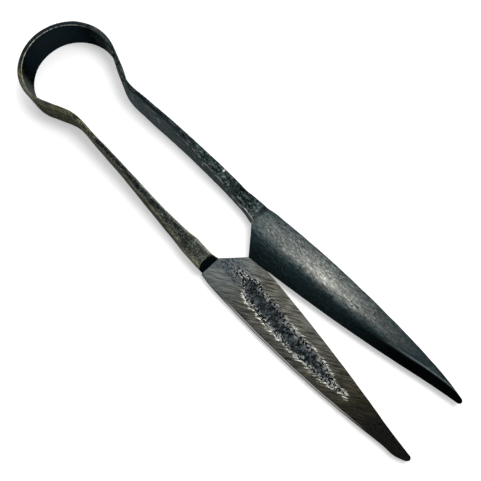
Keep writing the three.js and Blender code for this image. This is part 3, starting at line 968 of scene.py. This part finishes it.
def blade_skin(m, place):
    """Colour and height of the worn black skin on a blade's outer face."""
    masks = ("share", "along", "crest", "bevel", "painted_highlight")
    share, along, crest, bevel, painted_highlight_mask = (
        add(m, "Attribute", attribute_name=mask).outputs["Fac"] for mask in masks
    )
    drawn = add(m, "Mapping", {"Vector": place, "Scale": (0.4, 1, 1)}).outputs[0]
    mottle = add(
        m, "TexNoise",
        {"Vector": drawn, "Scale": every(1.613), "Detail": 5, "Roughness": 0.7, "Distortion": 2.2},
    ).outputs[0]
    patch = add(
        m, "TexNoise", {"Vector": place, "Scale": every(9.09), "Detail": 4, "Roughness": 0.6}
    ).outputs[0]
    light = add(m, "MapRange", {0: mottle, 1: 0.28, 2: 0.72}).outputs[0]
    # the painted highlight lifts the bare colour along the crest and in a spot at the heel
    high = add(m, "Mix", {0: painted_highlight_mask, 6: paint("7e817d"), 7: paint("aeafa8")}, data_type="RGBA").outputs[2]
    low = add(m, "Mix", {0: painted_highlight_mask, 6: paint("1a1e1f"), 7: paint("3e413f")}, data_type="RGBA").outputs[2]
    bare = add(m, "Mix", {0: light, 6: low, 7: high}, data_type="RGBA").outputs[2]
    skin = add(m, "Mix", {0: light, 6: paint("0d1618"), 7: paint("303f43")}, data_type="RGBA").outputs[2]
    # the bare colour goes where the skin was ground off, and where the painted sheen and the lit slope fall
    ground_and_sheen = ground_and_sheen_share(m, patch, share, along)
    worn = add(m, "Mix", {0: ground_and_sheen, 6: skin, 7: bare}, data_type="RGBA").outputs[2]
    # the bevel is painted near-black, partly the skin and partly painted shade on a slope that faces away
    # from the lamps
    bevelled = add(m, "Mix", {0: bevel, 6: worn, 7: paint("080b0d")}, data_type="RGBA").outputs[2]
    # the thin light line where the bevel starts is a painted highlight
    crest_highlight = add(m, "Math", {0: crest, 1: 0.6}, operation="MULTIPLY").outputs[0]
    lined = add(m, "Mix", {0: crest_highlight, 6: bevelled, 7: paint("8b989d")}, data_type="RGBA").outputs[2]
    # black pits, where scale was beaten in and has fallen out again
    pit = add(m, "TexVoronoi", {"Vector": place, "Scale": every(4.348)}).outputs["Distance"]
    pit_mask = add(m, "MapRange", {0: pit, 1: 0.16, 2: 0.06}).outputs[0]
    pit_here = add(m, "Math", {0: pit_mask, 1: patch}, operation="MULTIPLY").outputs[0]
    pitted = add(m, "Mix", {0: pit_here, 6: lined, 7: paint("080a0b")}, data_type="RGBA").outputs[2]
    height = add(m, "Math", {0: pit_here, 1: -0.8, 2: mottle}, operation="MULTIPLY_ADD").outputs[0]
    return pitted, height


def blacked_blade_iron():
    m = new_finish("worn_black_blade_iron")
    place = add(m, "TexCoord").outputs["Object"]
    colour, height = blade_skin(m, place)
    rough = add(m, "MapRange", {0: height, 1: 0.3, 2: 0.7, 3: 0.52, 4: 0.36}).outputs[0]
    relief = add(m, "Bump", {"Strength": 0.5, "Distance": 0.5 * MM, "Height": height}).outputs[0]
    shader = add(
        m, "BsdfPrincipled", {"Base Color": colour, "Roughness": rough, "Metallic": 1, "Normal": relief}
    )
    add(m, "OutputMaterial", {"Surface": shader.outputs[0]})
    return m


blade_plates["upper"].data.materials.append(blacked_blade_iron())
print("the upper blade has", blade_plates["upper"].data.materials[0].name)

# %% [markdown]
# The flat face was trued with a coarse file pushed slantwise across the blade, so its colour
# and its relief follow one set of fine lines, with a coarser banding where the strokes overlap.
# To the eye it is a hatched grey that turns brown and then black towards the point. The finest
# of the real strokes are too fine to show, so they are drawn a little coarser here.


# %% The filed face
FILE_SPACING = 0.4  # millimetres from line to line
FILE_ANGLE = 30  # degrees from the length of the shears


def file_marks(m, place):
    """The strokes as a height, and as a mask of light lines."""
    turned = add(m, "Mapping", {"Vector": place, "Rotation": (0, 0, math.radians(-FILE_ANGLE))}).outputs[0]
    long = add(m, "Mapping", {"Vector": turned, "Scale": (0.06, 1, 1)}).outputs[0]
    fine = add(
        m, "TexNoise", {"Vector": long, "Scale": every(FILE_SPACING), "Detail": 2, "Roughness": 0.7}
    ).outputs[0]
    band = add(
        m, "TexNoise", {"Vector": long, "Scale": every(2 * FILE_SPACING), "Detail": 1, "Roughness": 0.5}
    ).outputs[0]
    stroke = add(m, "Mix", {0: 0.15, 2: fine, 3: band}, data_type="FLOAT").outputs[0]
    return stroke, add(m, "MapRange", {0: stroke, 1: 0.42, 2: 0.58}).outputs[0]


def filed_colour(m, place, line, scab):
    """The filed face without its hollow: grey, faint at the heel, brown and black at the point."""
    share, along, heel_scale = (
        add(m, "Attribute", attribute_name=mask).outputs["Fac"] for mask in ("share", "along", "heel_scale")
    )
    patch = add(
        m, "TexNoise", {"Vector": place, "Scale": every(11.1), "Detail": 5, "Roughness": 0.65}
    ).outputs[0]
    filed = add(m, "Mix", {0: line, 6: paint("292923"), 7: paint("5d5d56")}, data_type="RGBA").outputs[2]
    dull = add(m, "Mix", {0: line, 6: paint("181916"), 7: paint("4a4b45")}, data_type="RGBA").outputs[2]
    by_back = add(m, "MapRange", {0: share, 1: 0.04, 2: 0.2, 3: 0.4, 4: 0}).outputs[0]
    dull_sum = add(m, "Math", {0: patch, 1: by_back}, operation="ADD").outputs[0]
    dull_here = add(m, "MapRange", {0: dull_sum, 1: 0.48, 2: 0.72}).outputs[0]
    trued = add(m, "Mix", {0: dull_here, 6: filed, 7: dull}, data_type="RGBA").outputs[2]
    # at the heel the file marks are faint, and thin scale lies over them
    at_heel = add(m, "MapRange", {0: along, 1: 0.2, 2: 0.06}).outputs[0]
    smooth = add(m, "Mix", {0: line, 6: paint("3c4040"), 7: paint("616765")}, data_type="RGBA").outputs[2]
    with_heel = add(m, "Mix", {0: at_heel, 6: trued, 7: smooth}, data_type="RGBA").outputs[2]
    flakes = add(m, "MapRange", {0: scab, 1: 0.44, 2: 0.53}).outputs[0]
    crust = add(m, "Mix", {0: flakes, 6: paint("090c0d"), 7: paint("4c5356")}, data_type="RGBA").outputs[2]
    scaled = add(m, "Mix", {0: heel_scale, 6: with_heel, 7: crust}, data_type="RGBA").outputs[2]
    # towards the point the file marks go under brown and then black skin
    uneven = add(m, "Math", {0: patch, 1: 0.25, 2: along}, operation="MULTIPLY_ADD").outputs[0]
    browning = add(m, "MapRange", {0: uneven, 1: 0.62, 2: 0.86}).outputs[0]
    brown = add(m, "Mix", {0: line, 6: paint("12110c"), 7: paint("3f3a2a")}, data_type="RGBA").outputs[2]
    browned = add(m, "Mix", {0: browning, 6: scaled, 7: brown}, data_type="RGBA").outputs[2]
    blacking = add(m, "MapRange", {0: uneven, 1: 0.84, 2: 0.95}).outputs[0]
    flaked = add(m, "MapRange", {0: scab, 1: 0.42, 2: 0.62}).outputs[0]
    black = add(m, "Mix", {0: flaked, 6: paint("030404"), 7: paint("24251f")}, data_type="RGBA").outputs[2]
    return add(m, "Mix", {0: blacking, 6: browned, 7: black}, data_type="RGBA").outputs[2]


print("file marks", FILE_SPACING, "mm apart")

# %% [markdown]
# In the hollow the file never reached the iron. Black scale is left there, eaten into pits a
# millimetre or so across, with sharp crests left standing between them, and the hollow's rim
# is polished bright. The pits are Voronoi cells whose places are shaken by a fine noise, so
# that none of them is round.


# %% The scale in the hollow
def hollow_scale(m, place, scab, blotch, inside):
    """Colour of the scale, and the height of its pits and crests."""
    tremble = add(m, "TexNoise", {"Vector": place, "Scale": every(1.111), "Detail": 2}).outputs["Color"]
    wander = add(m, "VectorMath", {0: tremble, "Scale": 3 * MM}, operation="SCALE").outputs[0]
    shaken = add(m, "VectorMath", {0: place, 1: wander}, operation="ADD").outputs[0]
    cell = add(m, "TexVoronoi", {"Vector": shaken, "Scale": every(1.2195)}).outputs["Distance"]
    pit_edge = add(m, "Math", {0: scab, 1: 1.1, 2: cell}, operation="MULTIPLY_ADD").outputs[0]
    scale_mask = add(m, "MapRange", {0: pit_edge, 1: 0.85, 2: 1.1}).outputs[0]
    deep = add(m, "Mix", {0: scale_mask, 6: paint("040607"), 7: paint("1c252a")}, data_type="RGBA").outputs[2]
    pale = add(m, "Mix", {0: scale_mask, 6: paint("0a0e10"), 7: paint("505c63")}, data_type="RGBA").outputs[2]
    pale_here = add(m, "MapRange", {0: blotch, 1: 0.42, 2: 0.58}).outputs[0]
    floor_colour = add(m, "Mix", {0: pale_here, 6: deep, 7: pale}, data_type="RGBA").outputs[2]
    crests = add(m, "MapRange", {0: pit_edge, 1: 1.1, 2: 1.18, 4: 1}).outputs[0]
    near_rim = add(m, "MapRange", {0: inside, 1: 3.0, 2: 1.0, 3: 0.12, 4: 1}).outputs[0]
    crest_here = add(m, "Math", {0: crests, 1: near_rim}, operation="MULTIPLY").outputs[0]
    colour = add(m, "Mix", {0: crest_here, 6: floor_colour, 7: paint("c9ccc6")}, data_type="RGBA").outputs[2]
    return colour, pit_edge


def polished_rim(m, line, blotch, edge):
    """Mask of the bright rim: it stops at the file marks in teeth, and breaks off in places."""
    rim_bright = add(m, "Attribute", attribute_name="rim_bright").outputs["Fac"]
    toothed = add(m, "Math", {0: line, 1: 1.5, 2: edge}, operation="MULTIPLY_ADD").outputs[0]
    rim_in = add(m, "MapRange", {0: toothed, 1: 1.6, 2: 2.2}).outputs[0]
    rim_break = add(m, "MapRange", {0: blotch, 1: 0.4, 2: 0.5, 3: 0.35, 4: 1}).outputs[0]
    rim_here = add(m, "Math", {0: rim_in, 1: rim_break}, operation="MULTIPLY").outputs[0]
    return add(m, "Math", {0: rim_here, 1: rim_bright}, operation="MULTIPLY").outputs[0]


# %% [markdown]
# The parts are laid over each other: the filed face, the hollow's rim, the scale inside it, and
# last a light filed strip beside the dark corner of the back. The strip's near-white colour is
# partly a painted reflection of the pale floor. It is given almost no metal, because a mirror
# lying flat would only show whatever stands beside it.


# %% File-ground iron with scale in the hollow
def file_ground_iron():
    m = new_finish("file_ground_iron")
    place = add(m, "TexCoord").outputs["Object"]
    masks = ("inside", "from_back", "back_filed")
    inside, from_back, back_filed = (
        add(m, "Attribute", attribute_name=mask).outputs["Fac"] for mask in masks
    )
    scab = add(
        m, "TexNoise",
        {"Vector": place, "Scale": every(0.909), "Detail": 4, "Roughness": 0.75, "Distortion": 0.8},
    ).outputs[0]
    blotch = add(
        m, "TexNoise", {"Vector": place, "Scale": every(3.846), "Detail": 3, "Roughness": 0.6}
    ).outputs[0]
    stroke, line = file_marks(m, place)
    face = filed_colour(m, place, line, scab)
    edge = add(m, "Math", {0: scab, 1: 3.6, 2: inside}, operation="MULTIPLY_ADD").outputs[0]
    rim_mask = polished_rim(m, line, blotch, edge)
    rimmed = add(m, "Mix", {0: rim_mask, 6: face, 7: paint("cfcfc6")}, data_type="RGBA").outputs[2]
    hollow_mask = add(m, "MapRange", {0: edge, 1: 1.75, 2: 1.95}).outputs[0]
    scale, pit_edge = hollow_scale(m, place, scab, blotch, inside)
    pitted = add(m, "Mix", {0: hollow_mask, 6: rimmed, 7: scale}, data_type="RGBA").outputs[2]
    inner_side = add(m, "MapRange", {0: from_back, 1: 1.15, 2: 0.9}).outputs[0]
    strip_in = add(m, "Math", {0: inner_side, 1: back_filed}, operation="MULTIPLY").outputs[0]
    outer_side = add(m, "MapRange", {0: from_back, 1: 0.3, 2: 0.45}).outputs[0]
    strip = add(m, "Math", {0: strip_in, 1: outer_side}, operation="MULTIPLY").outputs[0]
    # the strip's near-white is filed iron with a painted reflection of the floor on it
    lined = add(m, "Mix", {0: strip, 6: pitted, 7: paint("c8c8c2")}, data_type="RGBA").outputs[2]
    corner = add(m, "MapRange", {0: from_back, 1: 0.4, 2: 0.25}).outputs[0]
    colour = add(m, "Mix", {0: corner, 6: lined, 7: paint("15181a")}, data_type="RGBA").outputs[2]
    metal = add(m, "MapRange", {0: strip, 3: 0.85, 4: 0.1}).outputs[0]
    rough = add(m, "MapRange", {0: scab, 1: 0.3, 2: 0.7, 3: 0.5, 4: 0.36}).outputs[0]
    cut = add(m, "Bump", {"Strength": 0.4, "Distance": 0.2 * MM, "Height": stroke}).outputs[0]
    rugged = add(m, "Math", {0: pit_edge, 1: hollow_mask}, operation="MULTIPLY").outputs[0]
    relief = add(
        m, "Bump", {"Strength": 0.8, "Distance": 0.6 * MM, "Height": rugged, "Normal": cut}
    ).outputs[0]
    shader = add(
        m, "BsdfPrincipled", {"Base Color": colour, "Roughness": rough, "Metallic": metal, "Normal": relief}
    )
    add(m, "OutputMaterial", {"Surface": shader.outputs[0]})
    return m


blade_plates["lower"].data.materials.append(file_ground_iron())
print("the lower blade has", blade_plates["lower"].data.materials[0].name)

# %% [markdown]
# The shears lie on a pale matt floor. It is lifted to white for the camera, and for what is seen
# by reflection or through something clear, so it lights nothing more and keeps its shadow.

# %% Floor
FLOOR_LIFT = 0.44
bm = bmesh.new()
bmesh.ops.create_grid(bm, x_segments=2, y_segments=2, size=1.5)
floor_mesh = bpy.data.meshes.new("floor")
bm.to_mesh(floor_mesh)
bm.free()
floor = bpy.data.objects.new("floor", floor_mesh)
bpy.context.scene.collection.objects.link(floor)
pale = new_finish("pale_floor")
path = add(pale, "LightPath")
looked_at, mirrored, seen_through = (
    path.outputs[ray] for ray in ("Is Camera Ray", "Is Glossy Ray", "Is Transmission Ray")
)
on_show = add(pale, "Math", {0: looked_at, 1: mirrored}, operation="MAXIMUM").outputs[0]
on_show = add(pale, "Math", {0: on_show, 1: seen_through}, operation="MAXIMUM").outputs[0]
lift = add(pale, "Math", {0: on_show, 1: FLOOR_LIFT}, operation="MULTIPLY").outputs[0]
glow = add(pale, "Emission", {"Color": (1, 1, 1, 1), "Strength": lift}).outputs[0]
matt = add(pale, "BsdfDiffuse", {"Color": paint("f2f2f2")}).outputs[0]
lit = add(pale, "AddShader", {0: matt, 1: glow}).outputs[0]
add(pale, "OutputMaterial", {"Surface": lit})
floor_mesh.materials.append(pale)
print("floor", [round(v, 2) for v in floor.dimensions[:2]], "m across")

# %% [markdown]
# A broad soft lamp and a smaller one, both behind the shears, and a weak even sky. The broad one
# gives the long dull sheen on the blades, and the small one makes the hammered dents readable.


# %% Lamps and sky
SKY_STRENGTH = 0.15


def soft_box(name, place, size, watts):
    lamp_data = bpy.data.lights.new(name, "AREA")
    lamp_data.shape = "RECTANGLE"
    lamp_data.size = size
    lamp_data.size_y = size
    lamp_data.energy = watts
    lamp = bpy.data.objects.new(name, lamp_data)
    lamp.location = place
    lamp.rotation_euler = (-lamp.location).to_track_quat("-Z", "Y").to_euler()
    bpy.context.scene.collection.objects.link(lamp)
    print(name, "gives", watts, "W from", round(lamp.location.length, 2), "m away")


soft_box("key_box", (-0.34, 0.34, 0.62), 0.8, 3.5)
soft_box("over_box", (0.04, 0.22, 0.62), 0.24, 1.9)

sky = bpy.data.worlds.new("sky")
sky.use_nodes = True
sky.node_tree.nodes["Background"].inputs["Color"].default_value = (1, 1, 1, 1)
sky.node_tree.nodes["Background"].inputs["Strength"].default_value = SKY_STRENGTH
bpy.context.scene.world = sky
print("sky of", SKY_STRENGTH)
